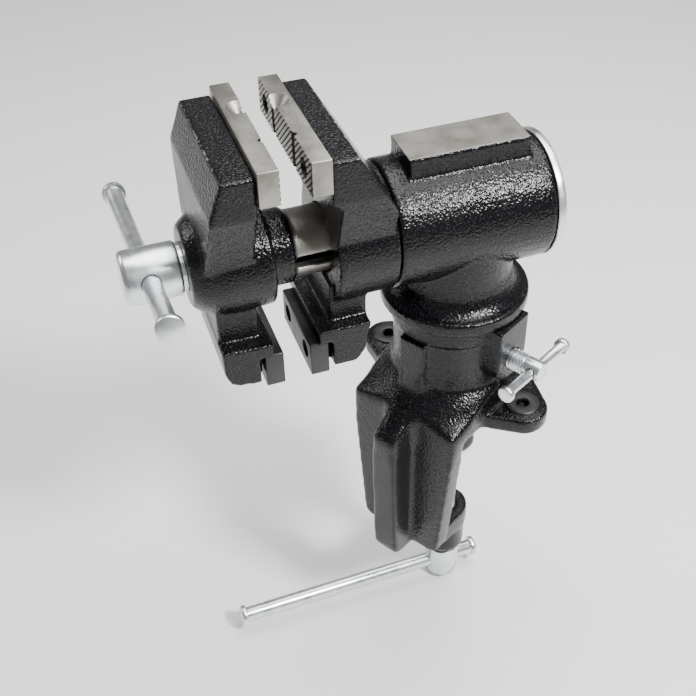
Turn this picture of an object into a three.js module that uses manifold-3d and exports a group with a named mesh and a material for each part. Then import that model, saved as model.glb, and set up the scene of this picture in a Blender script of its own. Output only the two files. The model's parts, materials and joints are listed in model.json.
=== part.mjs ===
// Clamp-on bench vise with a head that swivels on its base and jaws that turn about the spindle.
// Millimetres, +Z up. The origin is on the swivel axis, in the plane of the bench top.
// +X runs along the bench's front edge and +Y runs in over the bench.
// The head has its own frame: its origin is on the spindle axis over the swivel axis,
// x points to the right, y back along the spindle and z up.

import * as THREE from "three";
import { mergeVertices } from "three/addons/utils/BufferGeometryUtils.js";
import Module from "manifold-3d";

const wasm = await Module();
wasm.setup();

// ---------------------------------------------------------------- driving dimensions

const seatGap = 0.3; // between faces of pieces that are fixed together
const runningGap = 0.3; // on the radius, round anything that turns or slides

// Where the head stands
const spindleHeight = 110.5;
const headYaw = -30.33; // degrees about the swivel axis

// Upper jaw plates, in the head's frame
const upperPlateWidth = 75;
const upperPlateTop = 61.2;
const upperPlateHeight = 15.7;
const plateThickness = 8.7;
const plateScrewSpacing = 54;

// Lower (pipe) jaw plates
const lowerPlateWidth = 44.4;
const lowerPlateTop = -41.8;
const lowerPlateHeight = 17.7;
const lowerScrewSpacing = 27;

// Jaws
const fixedGripY = -79.5; // grip face of the fixed plates
const jawOpening = 12.4;
const jawTop = 58.1;
const jawWidth = 71.4;
const fixedBodyRadius = 29;
const fixedBodyFront = -66;
const turningJointY = -38.1; // where the turning jaw meets the housing
const fixedWingTopBack = -59.1;
const fixedLowerSeat = -68.9; // behind the lower plate, round its seat pad
const fixedLowerBack = -50.7;
const movingBossRadius = 24;
const movingBossLength = 35.5;
const movingBossFront = -127.5;
const movingWingFront = -122;
const movingLowerFront = -119.8;
const movingLowerSeat = -103.2; // behind the lower plate, round its seat pad
const lowerJawWidth = 48;
const lipTop = -34.4;
const lipOverhang = 4.4; // over the lower plates
const lowerJawBottom = -55.2;

// Slide, shank and screw
const slideRadius = 15.2;
const slideEnd = 18;
const slideWall = 4.9;
const slideSlotWidth = 5.5;
const slideSlotZ = -0.75;
const shankRadius = 22;
const screwRadius = 7;
const nutLength = 18;
const washerThickness = 1.6;

// Swivel housing
const housingRadius = 29.5;
const housingBack = 35.4;
const anvilWidth = 23.7;
const anvilFront = -28.8;
const anvilBack = 27.9;
const anvilTop = 36.8;
const neckRadius = 27;
const flangeRadius = 35.8;
const flangeThickness = 7.2;
const flangeBottom = -48.6;
const spigotRadius = 20;
const spigotLength = 53;

// Base
const columnRadius = 29;
const bandRadius = 30.5;
const bandHeight = 12;
const lugFaceX = 37;
const lugHalfWidth = 11.5;
const lugY = -1.5;
const lockScrewZ = 38.9;
const lockScrewRadius = 5.4;
const earSpacing = 85.2;
const earY = 3.7;
const earRadius = 12.8;
const earThickness = 9;
const earHoleRadius = 3;
const edgeFaceY = -28.4; // back of the spine, which meets the bench's front edge
const spineFrontY = -39.6;
const spineTopHalfWidth = 32;
const spineBottomHalfWidth = 25;
const spineBottom = -83;
const ribHalfWidth = 7.4;
const ribFrontY = -55;
const ribBottom = -87;
const armHalfWidth = 13;
const armTop = -94.5;
const armBottom = -108.5;
const armBossRadius = 12;
const armBossBottom = -127;
const clampY = 3;
const clampScrewRadius = 6;
const clampOpening = 39.8;

// Tommy bars: radius, head radius and head thickness are shared by the two large ones
const largeBarRadius = 4.2;
const largeKnobRadius = 6;
const smallBarRadius = 2.5;
const smallKnobRadius = 4;

// ---------------------------------------------------------------- places that follow

const rad = THREE.MathUtils.degToRad;
const movingGripY = fixedGripY - jawOpening;
const fixedPlateBack = fixedGripY + plateThickness;
const movingPlateBack = movingGripY - plateThickness;
const fixedSeatY = fixedPlateBack + seatGap;
const movingSeatY = movingPlateBack - seatGap;
const upperPlateBottom = upperPlateTop - upperPlateHeight;
const lowerPlateBottom = lowerPlateTop - lowerPlateHeight;
const upperScrewZ = (upperPlateTop + upperPlateBottom) / 2 + 0.3;
const lowerScrewZ = (lowerPlateTop + lowerPlateBottom) / 2 + 0.6;
const movingBossBack = movingBossFront + movingBossLength;
const slideBoreRadius = slideRadius - slideWall;
const columnTop = spindleHeight + flangeBottom - seatGap;
const spigotEnd = flangeBottom - spigotLength;
const spindleHeadBack = movingBossFront - washerThickness - 2 * seatGap;

// ---------------------------------------------------------------- solids

// A closed three.js geometry as a solid, with shared corners joined and empty faces left out.
function solidFrom(geometry) {
  geometry.deleteAttribute("normal");
  geometry.deleteAttribute("uv");
  const merged = mergeVertices(geometry, 1e-4);
  const index = merged.index.array;
  const faces = [];
  for (let i = 0; i < index.length; i += 3) {
    const [a, b, c] = index.slice(i, i + 3);
    if (a !== b && b !== c && c !== a) {
      faces.push(a, b, c);
    }
  }
  const vertProperties = merged.attributes.position.array;
  return new wasm.Manifold(new wasm.Mesh({ numProp: 3, vertProperties, triVerts: new Uint32Array(faces) }));
}

function geometryFrom(solid) {
  const mesh = solid.getMesh();
  const geometry = new THREE.BufferGeometry();
  geometry.setAttribute("position", new THREE.BufferAttribute(mesh.vertProperties, 3));
  geometry.setIndex(new THREE.BufferAttribute(mesh.triVerts, 1));
  geometry.computeVertexNormals();
  return geometry;
}

function joined(...solids) {
  return solids.reduce((whole, solid) => whole.add(solid));
}

function without(solid, ...tools) {
  return tools.reduce((rest, tool) => rest.subtract(tool), solid);
}

function block([x0, x1], [y0, y1], [z0, z1]) {
  const box = new THREE.BoxGeometry(x1 - x0, y1 - y0, z1 - z0);
  box.translate((x0 + x1) / 2, (y0 + y1) / 2, (z0 + z1) / 2);
  return solidFrom(box);
}

// Facets round a circle, so that each one bows in by less than a third of the running gap.
function facets(radius) {
  return 8 * Math.ceil(Math.max(radius, 2.5) ** 0.5 * 0.82);
}

// An outline of [radius, distance] corners turned about an axis: "x", "y" or "z".
function turned(profile, axis) {
  const segments = facets(Math.max(...profile.map(([radius]) => radius)));
  const corners = profile.map(([radius, along]) => new THREE.Vector2(radius, along));
  const openEnds = corners[0].x > 0;
  if (openEnds) {
    corners.push(corners[0].clone());
  }
  const geometry = new THREE.LatheGeometry(corners, segments);
  if (axis === "z") {
    geometry.rotateX(Math.PI / 2);
  }
  if (axis === "x") {
    geometry.rotateZ(-Math.PI / 2);
  }
  return solidFrom(geometry);
}

// A round bar along an axis from one distance to another, with both end edges chamfered.
function bar(axis, radius, from, to, chamfer = 0) {
  const profile = [[0, from], [radius - chamfer, from]];
  if (chamfer > 0) {
    profile.push([radius, from + chamfer], [radius, to - chamfer]);
    profile.push([radius - chamfer, to]);
  } else {
    profile.push([radius, to]);
  }
  profile.push([0, to]);
  return turned(profile, axis);
}

// An outline extruded along the axis that its plane leaves out, from one distance to another.
function prism(plane, outline, from, to) {
  const drawn = outline instanceof THREE.Shape;
  const shape = drawn ? outline : new THREE.Shape(outline.map((point) => new THREE.Vector2(...point)));
  const settings = { depth: to - from, bevelEnabled: false, curveSegments: 10 };
  const geometry = new THREE.ExtrudeGeometry(shape, settings);
  const turns = {
    xy: [[1, 0, 0], [0, 1, 0], [0, 0, 1]],
    yz: [[0, 1, 0], [0, 0, 1], [1, 0, 0]],
    xz: [[1, 0, 0], [0, 0, 1], [0, -1, 0]],
  };
  geometry.translate(0, 0, plane === "xz" ? -to : from);
  geometry.applyMatrix4(new THREE.Matrix4().makeBasis(...turns[plane].map((v) => new THREE.Vector3(...v))));
  return solidFrom(geometry);
}

// ---------------------------------------------------------------- materials

const finishes = {
  enamel: { color: 0x1b1c1e, roughness: 0.35, metalness: 0.1 },
  steel: { color: 0x9a948a, roughness: 0.4, metalness: 0.9 },
  blackSteel: { color: 0x18181a, roughness: 0.45, metalness: 0.4 },
  zinc: { color: 0xc9d2d4, roughness: 0.25, metalness: 1 },
  blackScrew: { color: 0x101011, roughness: 0.5, metalness: 0.5 },
};

const vise = new THREE.Group();
const head = new THREE.Group();
head.position.z = spindleHeight;
head.rotation.z = rad(headYaw);
vise.add(head);

function addPiece(group, name, finish, solid) {
  const mesh = new THREE.Mesh(geometryFrom(solid), new THREE.MeshStandardMaterial(finishes[finish]));
  mesh.name = name;
  group.add(mesh);
  return mesh;
}

// ---------------------------------------------------------------- clamp base

// The footplate: two round ears and a rounded tail, drawn as the tangents round three circles.
function footplateOutline() {
  const ear = { x: earSpacing / 2, y: earY, r: earRadius };
  const tail = { x: 0, y: 24, r: 21 };
  const dx = tail.x - ear.x;
  const dy = tail.y - ear.y;
  const along = Math.atan2(dy, dx);
  const tangent = along - Math.PI / 2 - Math.asin((tail.r - ear.r) / Math.hypot(dx, dy));
  const neckX = 31;
  const neckY = -15;
  const shape = new THREE.Shape();
  shape.moveTo(-neckX, edgeFaceY);
  shape.lineTo(neckX, edgeFaceY);
  shape.lineTo(neckX, neckY - 3);
  shape.quadraticCurveTo(neckX, neckY, neckX + 5, neckY + 1.5);
  shape.absarc(ear.x, ear.y, ear.r, rad(-74), tangent, false);
  shape.absarc(tail.x, tail.y, tail.r, tangent, Math.PI - tangent, false);
  shape.absarc(-ear.x, ear.y, ear.r, Math.PI - tangent, rad(254), false);
  shape.lineTo(-neckX - 5, neckY + 1.5);
  shape.quadraticCurveTo(-neckX, neckY, -neckX, neckY - 3);
  return shape;
}

// The spine that hangs in front of the bench: a tapering plate with rounded lower corners.
function spineOutline() {
  const corner = 6;
  const bottom = spineBottomHalfWidth;
  const shape = new THREE.Shape();
  shape.moveTo(-spineTopHalfWidth, 9);
  shape.lineTo(-spineTopHalfWidth, 0);
  shape.lineTo(-bottom, spineBottom + corner);
  shape.quadraticCurveTo(-bottom, spineBottom, -bottom + corner, spineBottom);
  shape.lineTo(bottom - corner, spineBottom);
  shape.quadraticCurveTo(bottom, spineBottom, bottom, spineBottom + corner);
  shape.lineTo(spineTopHalfWidth, 0);
  shape.lineTo(spineTopHalfWidth, 9);
  return shape;
}

// The side of the middle rib, which runs down the spine and up the column to the band.
function ribOutline() {
  const bandFoot = columnTop - bandHeight;
  const shape = new THREE.Shape();
  shape.moveTo(-20, 0);
  shape.lineTo(-20, bandFoot + 1);
  shape.lineTo(-columnRadius - 3.5, bandFoot + 1);
  shape.lineTo(-columnRadius - 3.8, 20);
  shape.lineTo(ribFrontY + 11, 9);
  shape.lineTo(ribFrontY + 1.5, 3.6);
  shape.quadraticCurveTo(ribFrontY, 2.8, ribFrontY, 0.5);
  shape.lineTo(ribFrontY + 2, ribBottom + 9);
  shape.quadraticCurveTo(ribFrontY + 2, ribBottom, ribFrontY + 10, ribBottom);
  shape.lineTo(spineFrontY + 1, ribBottom);
  shape.lineTo(edgeFaceY, spineBottom + 1);
  shape.lineTo(edgeFaceY, 0);
  return shape;
}

function lugOutline() {
  const shape = new THREE.Shape();
  shape.moveTo(-lugHalfWidth, columnTop);
  shape.lineTo(-lugHalfWidth, lockScrewZ);
  shape.absarc(0, lockScrewZ, lugHalfWidth, Math.PI, 2 * Math.PI, false);
  shape.lineTo(lugHalfWidth, columnTop);
  return shape;
}

// The side of the arm: from the foot of the spine down and back to the clamp-screw boss.
function armOutline() {
  const shape = new THREE.Shape();
  shape.moveTo(spineFrontY, -55);
  shape.lineTo(spineFrontY, spineBottom + 3);
  shape.lineTo(-13, armBottom);
  shape.lineTo(clampY, armBottom);
  shape.lineTo(clampY, armTop);
  shape.lineTo(-20, armTop + 1);
  shape.quadraticCurveTo(edgeFaceY, armTop + 2, edgeFaceY, armTop + 12);
  shape.lineTo(edgeFaceY, -55);
  return shape;
}

function footAndSpine() {
  const width = spineTopHalfWidth;
  const foot = prism("xy", footplateOutline(), 0, earThickness);
  const spine = prism("xz", spineOutline(), spineFrontY, edgeFaceY);
  const skirt = turned([[0, 0], [52, 0], [52, 7.5], [41, 11.5], [columnRadius, 22], [0, 22]], "z");
  const shoulder = skirt.intersect(block([-width, width], [spineFrontY, 0], [0, 24]));
  return joined(foot, spine, shoulder);
}

function buildClampBase() {
  const bandFoot = columnTop - bandHeight;
  const column = turned(
    [
      [0, 0],
      [columnRadius, 0],
      [columnRadius, bandFoot],
      [bandRadius, bandFoot + 1.5],
      [bandRadius, columnTop],
      [0, columnTop],
    ],
    "z",
  );
  const rib = prismOnX(ribOutline(), ribHalfWidth);
  const lug = prism("yz", lugOutline(), 12, lugFaceX).translate(0, lugY, 0);
  const arm = prismOnX(armOutline(), armHalfWidth);
  const armEnd = turnedAt(clampY, post(armHalfWidth, armBottom, armTop));
  const bossTop = armBottom + 1;
  const boss = turnedAt(clampY, post(armBossRadius, armBossBottom, bossTop));
  const body = joined(footAndSpine(), column, rib, lug, arm, armEnd, boss, ...[-1, 1].map(earRing));
  const spigotBore = bar("z", spigotRadius + runningGap, spindleHeight + spigotEnd - 1, columnTop + 1);
  const lockHole = bar("x", lockScrewRadius + runningGap, 10, lugFaceX + 1).translate(0, 0, lockScrewZ);
  const clampBore = bar("z", clampScrewRadius + runningGap, armBossBottom - 1, armTop + 6);
  const clampHole = clampBore.translate(0, clampY, 0);
  return without(body, spigotBore, lockHole, clampHole, ...[-1, 1].map(earHole));
}

// The half section of an upright round post.
function post(radius, bottom, top) {
  return [[0, bottom], [radius, bottom], [radius, top], [0, top]];
}

function prismOnX(outline, halfWidth) {
  return prism("yz", outline, -halfWidth, halfWidth);
}

function turnedAt(y, profile) {
  return turned(profile, "z").translate(0, y, 0);
}

function earRing(side) {
  return bar("z", 8, earThickness - 1, earThickness + 1.4, 0.4).translate((side * earSpacing) / 2, earY, 0);
}

function earHole(side) {
  return bar("z", earHoleRadius, -1, earThickness + 3).translate((side * earSpacing) / 2, earY, 0);
}

addPiece(vise, "clamp_base", "enamel", buildClampBase());

// ---------------------------------------------------------------- swivel housing

function buildSwivelHousing() {
  const front = turningJointY;
  const barrel = bar("y", housingRadius, front, housingBack, 0.8);
  const anvil = block([-anvilWidth / 2, anvilWidth / 2], [anvilFront, anvilBack], [10, anvilTop]);
  const flangeTop = flangeBottom + flangeThickness;
  const grooveZ = lockScrewZ - spindleHeight;
  const swivel = turned(
    [
      [0, spigotEnd],
      [spigotRadius - 1, spigotEnd],
      [spigotRadius, spigotEnd + 1],
      [spigotRadius, grooveZ - 7],
      [spigotRadius - 1, grooveZ - 6],
      [spigotRadius - 1, grooveZ + 6],
      [spigotRadius, grooveZ + 7],
      [spigotRadius, flangeBottom],
      [flangeRadius, flangeBottom],
      [flangeRadius, flangeTop - 1],
      [flangeRadius - 1, flangeTop],
      [flangeRadius - 3.4, flangeTop],
      [neckRadius + 2.2, flangeTop + 2.6],
      [neckRadius, flangeTop + 7],
      [neckRadius, -6],
      [0, -6],
    ],
    "z",
  );
  const bore = bar("y", shankRadius + runningGap, front - 1, housingBack + 1);
  return joined(barrel, anvil, swivel).subtract(bore);
}

addPiece(head, "swivel_housing", "enamel", buildSwivelHousing());

// ---------------------------------------------------------------- jaw plates and their screws

const plateScrew = { shank: 2.4, head: 4, headHeight: 3.4, sunk: 2, reach: 8 };

// A plate between two y faces; its grip face looks towards -y (grip -1) or +y (grip 1).
function buildPlate(width, bottom, top, gripY, grip, screwX, screwZ) {
  const backY = gripY - grip * plateThickness;
  const depthRange = [Math.min(gripY, backY), Math.max(gripY, backY)];
  const plate = block([-width / 2, width / 2], depthRange, [bottom, top]);
  const depth = plateScrew.sunk + plateScrew.headHeight + seatGap;
  const holes = [-screwX, screwX].flatMap((x) => [
    barAlongGrip(plateScrew.shank + seatGap, gripY + grip, backY - grip).translate(x, 0, screwZ),
    barAlongGrip(plateScrew.head + seatGap, gripY + grip, gripY - grip * depth).translate(x, 0, screwZ),
  ]);
  return without(plate, ...holes);
}

function barAlongGrip(radius, from, to) {
  return bar("y", radius, Math.min(from, to), Math.max(from, to));
}

// Two upright V grooves in the grip face, one with a cone at its top, hold pointed and round work.
function holdingGrooves(gripY, grip) {
  const depth = 2;
  const half = 1.9;
  const open = gripY + grip * 0.1;
  const vee = (x) => prism(
    "xy",
    [[x - half, open], [x + half, open], [x, gripY - grip * depth]],
    upperPlateBottom - 1,
    upperPlateTop + 1,
  );
  return [vee(-15), vee(14)];
}

function grooveCone(gripY, grip) {
  const cone = turned([[0, -5.5], [0.6, -5.5], [6.1, 0.5], [0, 0.5]], "z");
  return cone.translate(-15, gripY - grip * 1.6, upperPlateTop);
}

function buildPlateScrew(x, z, gripY, grip) {
  const headFace = gripY - grip * plateScrew.sunk;
  const headBack = headFace - grip * plateScrew.headHeight;
  const end = gripY - grip * (plateThickness + plateScrew.reach);
  const shank = barAlongGrip(plateScrew.shank, headBack, end);
  const screw = barAlongGrip(plateScrew.head, headFace, headBack).add(shank);
  const socket = barAlongGrip(2, headFace + grip, headFace - grip * 2);
  return screw.subtract(socket).translate(x, 0, z);
}

function plateScrewHoles(gripY, grip) {
  const from = gripY - grip * (plateThickness - 1);
  const to = gripY - grip * (plateThickness + plateScrew.reach + 1);
  const holeAt = (x, z) => barAlongGrip(plateScrew.shank + seatGap, from, to).translate(x, 0, z);
  return [-1, 1].flatMap((side) => [
    holeAt((side * plateScrewSpacing) / 2, upperScrewZ),
    holeAt((side * lowerScrewSpacing) / 2, lowerScrewZ),
  ]);
}

for (const [jaw, gripY, grip] of [["fixed", fixedGripY, -1], ["moving", movingGripY, 1]]) {
  const upper = buildPlate(
    upperPlateWidth, upperPlateBottom, upperPlateTop, gripY, grip, plateScrewSpacing / 2, upperScrewZ,
  );
  const lower = buildPlate(
    lowerPlateWidth, lowerPlateBottom, lowerPlateTop, gripY, grip, lowerScrewSpacing / 2, lowerScrewZ,
  );
  const grooves = [...holdingGrooves(gripY, grip), grooveCone(gripY, grip)];
  addPiece(head, `${jaw}_upper_plate`, "steel", without(upper, ...grooves));
  addPiece(head, `${jaw}_lower_plate`, "blackSteel", lower);
  for (const [hand, side] of [["left", -1], ["right", 1]]) {
    const upperX = (side * plateScrewSpacing) / 2;
    const lowerX = (side * lowerScrewSpacing) / 2;
    const upperScrew = buildPlateScrew(upperX, upperScrewZ, gripY, grip);
    const lowerScrew = buildPlateScrew(lowerX, lowerScrewZ, gripY, grip);
    addPiece(head, `${jaw}_upper_screw_${hand}`, "blackScrew", upperScrew);
    addPiece(head, `${jaw}_lower_screw_${hand}`, "blackScrew", lowerScrew);
  }
}

// ---------------------------------------------------------------- fixed (turning) jaw

// The front view of a jaw's upper wing: straight sides that draw in to the round body.
function wingOutline(bodyHalfWidth, shoulderZ, footZ) {
  const half = jawWidth / 2;
  const leftSide = [[-half, jawTop], [-half, shoulderZ], [-bodyHalfWidth, footZ]];
  const rightSide = leftSide.map(([x, z]) => [-x, z]).reverse();
  return [...leftSide, ...rightSide];
}

function wing(side, front) {
  const outline = prism("xz", front, -140, -30);
  return outline.intersect(prismOnX(side, jawWidth));
}

const keyHalfWidth = slideSlotWidth / 2 - 0.55;
const keyTop = shankRadius - 0.2;
const nutFront = turningJointY + 1.2;

function buildFixedJaw() {
  const rear = turningJointY - seatGap;
  const body = bar("y", fixedBodyRadius, fixedBodyFront, rear, 0.8);
  const shank = bar("y", shankRadius, rear - 6, housingBack - seatGap);
  const upper = wing(
    [
      [fixedSeatY, jawTop],
      [fixedSeatY, 39],
      [fixedBodyFront, 34],
      [fixedBodyFront, 5],
      [rear - 0.8, 5],
      [rear - 2.5, fixedBodyRadius - 2],
      [fixedWingTopBack, jawTop],
    ],
    wingOutline(26, 38, 12),
  );
  const lower = prismOnX(
    [
      [fixedPlateBack - lipOverhang, lipTop],
      [fixedPlateBack - lipOverhang, lowerPlateTop + seatGap],
      [fixedLowerSeat, lowerPlateTop + seatGap],
      [fixedLowerSeat, lowerJawBottom],
      [fixedLowerBack - 7, lowerJawBottom],
      [fixedLowerBack - 3, lowerJawBottom + 5.3],
      [fixedLowerBack, lipTop],
    ],
    lowerJawWidth / 2,
  );
  const seatPad = block([-18, 18], [fixedSeatY, fixedLowerSeat + 3], [lowerJawBottom, lowerPlateTop + 2]);
  const neck = block([-17, 17], [fixedBodyFront - 2, fixedLowerBack], [lipTop - 3.6, -15]);
  const slideBore = bar("y", slideRadius + runningGap, -80, housingBack + 1);
  const keyway = block([10, shankRadius + 2], [nutFront - seatGap, housingBack + 1], keyRange(seatGap));
  return without(
    joined(body, shank, upper, lower, seatPad, neck),
    slideBore,
    keyway,
    ...plateScrewHoles(fixedGripY, -1),
    ...capScrewHoles(capScrew.shank, capScrewEnd - 1, housingBack + 1),
  );
}

function keyRange(clearance) {
  return [slideSlotZ - keyHalfWidth - clearance, slideSlotZ + keyHalfWidth + clearance];
}

// The nut sits inside the slide. Its key passes out through the slide's slot into the shank's wall,
// so it also keeps the slide from turning, and it is trapped there by the housing and the end cap.
function buildSpindleNut() {
  const nut = bar("y", slideBoreRadius - runningGap, nutFront, nutFront + nutLength, 0.6);
  const stem = block([5, keyTop - 1], [nutFront, nutFront + nutLength], keyRange(0));
  const key = block([slideRadius + 0.7, keyTop], [nutFront, housingBack - 2 * seatGap], keyRange(0));
  const thread = bar("y", screwRadius + runningGap, nutFront - 1, nutFront + nutLength + 1);
  return joined(nut, stem, key).intersect(bar("y", shankRadius - 0.05, -60, 60)).subtract(thread);
}

const capThickness = 4;
const capFront = housingBack + seatGap;
const capScrew = { shank: 1.7, head: 3.2, headHeight: 1.8, reach: 9 };
const capScrewAngles = [60, 180, 300];
const capScrewEnd = capFront + capThickness - capScrew.reach;

function capScrewBar(angle, radius, from, to) {
  const circle = (slideRadius + runningGap + shankRadius) / 2;
  const turn = rad(angle);
  return bar("y", radius, from, to).translate(circle * Math.cos(turn), 0, circle * Math.sin(turn));
}

function capScrewHoles(screwRadius, from, to) {
  return capScrewAngles.map((angle) => capScrewBar(angle, screwRadius + seatGap, from, to));
}

function buildEndCap() {
  const back = capFront + capThickness;
  const disc = bar("y", housingRadius, capFront, back, 0.8);
  return without(
    disc,
    ...capScrewHoles(capScrew.shank, capFront - 1, back + 1),
    ...capScrewHoles(capScrew.head, back - capScrew.headHeight - 0.5, back + 1),
  );
}

function buildCapScrew(angle) {
  const back = capFront + capThickness - 0.2;
  const screwHead = capScrewBar(angle, capScrew.head, back - capScrew.headHeight, back);
  return screwHead.add(capScrewBar(angle, capScrew.shank, capScrewEnd, back - 0.5));
}

addPiece(head, "fixed_jaw", "enamel", buildFixedJaw());
addPiece(head, "spindle_nut", "steel", buildSpindleNut());
addPiece(head, "end_cap", "zinc", buildEndCap());
capScrewAngles.forEach((angle, i) => addPiece(head, `end_cap_screw_${i + 1}`, "zinc", buildCapScrew(angle)));

// ---------------------------------------------------------------- moving jaw and its slide

function buildMovingJaw() {
  const collarBack = movingBossBack + 10;
  const noseRadius = movingBossRadius - 5.5;
  const boss = turned(
    [
      [0, movingBossFront],
      [noseRadius - 1, movingBossFront],
      [noseRadius, movingBossFront + 0.8],
      [noseRadius + 2.6, movingBossFront + 4],
      [movingBossRadius, movingBossFront + 15],
      [movingBossRadius, movingBossBack - 1],
      [movingBossRadius - 1, movingBossBack],
      [0, movingBossBack],
    ],
    "y",
  );
  const collar = bar("y", 17, movingBossBack - 2, collarBack, 0.6);
  const slide = bar("y", slideRadius, movingBossBack, slideEnd, 0.5);
  const upper = wing(
    [
      [movingSeatY, jawTop],
      [movingSeatY - 13.5, jawTop],
      [movingWingFront + 1.6, 42],
      [movingWingFront, 14],
      [movingWingFront, 4],
      [movingSeatY, 4],
    ],
    wingOutline(21, 40, 8),
  );
  const lower = prismOnX(
    [
      [movingLowerFront, lipTop + 1],
      [movingLowerFront + 0.6, lowerJawBottom + 8.2],
      [movingLowerFront + 2.8, lowerJawBottom + 3.2],
      [movingLowerFront + 6.8, lowerJawBottom + 1],
      [movingLowerSeat, lowerJawBottom + 0.6],
      [movingLowerSeat, lowerPlateTop + seatGap],
      [movingPlateBack + lipOverhang, lowerPlateTop + seatGap],
      [movingPlateBack + lipOverhang, lipTop],
    ],
    lowerJawWidth / 2,
  );
  const seatPad = block(
    [-18, 18],
    [movingLowerSeat - 2, movingSeatY],
    [lowerJawBottom + 0.6, lowerPlateTop + 2],
  );
  const neck = block([-16, 16], [movingLowerFront + 0.8, movingSeatY], [lipTop - 3.6, -12]);
  const screwHole = bar("y", screwRadius + runningGap, movingBossFront - 1, movingBossBack + 1);
  const slideBore = bar("y", slideBoreRadius, movingBossBack, slideEnd + 1);
  const slot = block(
    [6, slideRadius + 1],
    [collarBack, slideEnd + 1],
    [slideSlotZ - slideSlotWidth / 2, slideSlotZ + slideSlotWidth / 2],
  );
  return without(
    joined(boss, collar, slide, upper, lower, seatPad, neck),
    screwHole,
    slideBore,
    slot,
    ...plateScrewHoles(movingGripY, 1),
  );
}

addPiece(head, "moving_jaw", "enamel", buildMovingJaw());

// ---------------------------------------------------------------- tommy bars

// A bar along x through a head's cross hole, with one knob forged on and one pressed on.
// The bar is placed by its own group, whose origin is on the head's axis.
function addTommyBar(parent, name, size, place) {
  const group = new THREE.Group();
  group.position.set(...place.at);
  group.rotation.set(0, place.tilt ?? 0, place.turn ?? 0);
  parent.add(group);
  const half = size.knobThickness / 2;
  const rod = bar("x", size.radius, place.left - half + 1, place.right);
  const forged = bar("x", size.knobRadius, place.right - half, place.right + half, 0.7);
  const neckFrom = place.left - half;
  const pressed = bar("x", size.knobRadius, neckFrom, place.left + half, 0.7);
  const socket = bar("x", size.radius + seatGap / 2, neckFrom + 0.8, place.left + half + 1);
  addPiece(group, `${name}_bar`, "zinc", rod.add(forged));
  addPiece(group, `${name}_knob`, "zinc", pressed.subtract(socket));
}

function crossHole(size, tilt, turn, reach) {
  return bar("x", size.radius + runningGap, -reach, reach).rotate(0, THREE.MathUtils.radToDeg(tilt), turn);
}

const largeBar = { radius: largeBarRadius, knobRadius: largeKnobRadius, knobThickness: 3.2 };
const smallBar = { radius: smallBarRadius, knobRadius: smallKnobRadius, knobThickness: 3 };

// ---------------------------------------------------------------- main screw

const spindleHeadRadius = 12.1;
const spindleHeadLength = 24.4;
const spindleBarY = spindleHeadBack - 13.3;
const spindleBarTilt = rad(-12);
const screwEnd = slideEnd + 1;
const collarLength = 5;
const collarFront = movingBossBack + seatGap;

function buildMainScrew() {
  const front = spindleHeadBack - spindleHeadLength;
  const screwHead = bar("y", spindleHeadRadius, front, spindleHeadBack, 1.3);
  const rod = bar("y", screwRadius, spindleHeadBack - 2, screwEnd, 1);
  const hole = crossHole(largeBar, spindleBarTilt, 0, 20).translate(0, spindleBarY, 0);
  return screwHead.add(rod).subtract(hole).subtract(buildPinHole());
}

const collarPin = { radius: 1.25, halfLength: slideBoreRadius - runningGap - 0.2 };
const collarPinY = collarFront + collarLength / 2;

function buildPinHole() {
  return bar("z", collarPin.radius + seatGap, -20, 20).translate(0, collarPinY, 0);
}

function buildScrewCollar() {
  const back = collarFront + collarLength;
  const ring = turned(
    [[screwRadius + seatGap, collarFront], [slideBoreRadius - runningGap, collarFront],
      [slideBoreRadius - runningGap, back], [screwRadius + seatGap, back]],
    "y",
  );
  return ring.subtract(buildPinHole());
}

addPiece(head, "main_screw", "zinc", buildMainScrew());
addPiece(
  head,
  "thrust_washer",
  "zinc",
  turned(
    [[screwRadius + seatGap, spindleHeadBack + seatGap], [11, spindleHeadBack + seatGap],
      [11, movingBossFront - seatGap], [screwRadius + seatGap, movingBossFront - seatGap]],
    "y",
  ),
);
addPiece(head, "screw_collar", "zinc", buildScrewCollar());
const pin = bar("z", collarPin.radius, -collarPin.halfLength, collarPin.halfLength);
addPiece(head, "collar_pin", "zinc", pin.translate(0, collarPinY, 0));
const handlePlace = { at: [0, spindleBarY, 0], tilt: spindleBarTilt, left: -104, right: 53.6 };
addTommyBar(head, "handle", largeBar, handlePlace);

// ---------------------------------------------------------------- clamp screw and swivel pad

const padTop = -clampOpening;
const padRadius = 14;
const padDepth = 11;
const tipRadius = 4.6;
const clampHeadTop = armBossBottom - 4;
const clampHeadLength = 22;
const clampHeadRadius = 9.8;
const clampBarZ = clampHeadTop - 13;
const clampBarTurn = 60.3;

function buildClampPad() {
  const socket = tipRadius + runningGap;
  return turned(
    [
      [0, padTop - 4],
      [socket, padTop - 4],
      [socket, padTop - padDepth],
      [8.5, padTop - padDepth],
      [9.5, padTop - padDepth + 1],
      [9.5, padTop - 5],
      [padRadius, padTop - 3.4],
      [padRadius, padTop - 0.6],
      [padRadius - 0.6, padTop],
      [0, padTop],
    ],
    "z",
  ).translate(0, clampY, 0);
}

function buildClampScrew() {
  const tipTop = padTop - 4 - runningGap;
  const shoulder = padTop - padDepth - runningGap;
  const body = turned(
    [
      [0, clampHeadTop - clampHeadLength],
      [clampHeadRadius - 1.2, clampHeadTop - clampHeadLength],
      [clampHeadRadius, clampHeadTop - clampHeadLength + 1.2],
      [clampHeadRadius, clampHeadTop - 1],
      [clampHeadRadius - 1, clampHeadTop],
      [clampScrewRadius, clampHeadTop],
      [clampScrewRadius, shoulder - 1],
      [clampScrewRadius - 1, shoulder],
      [tipRadius, shoulder],
      [tipRadius, tipTop - 0.6],
      [tipRadius - 0.6, tipTop],
      [0, tipTop],
    ],
    "z",
  );
  const hole = crossHole(largeBar, 0, clampBarTurn, 20).translate(0, 0, clampBarZ);
  return body.subtract(hole).translate(0, clampY, 0);
}

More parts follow.
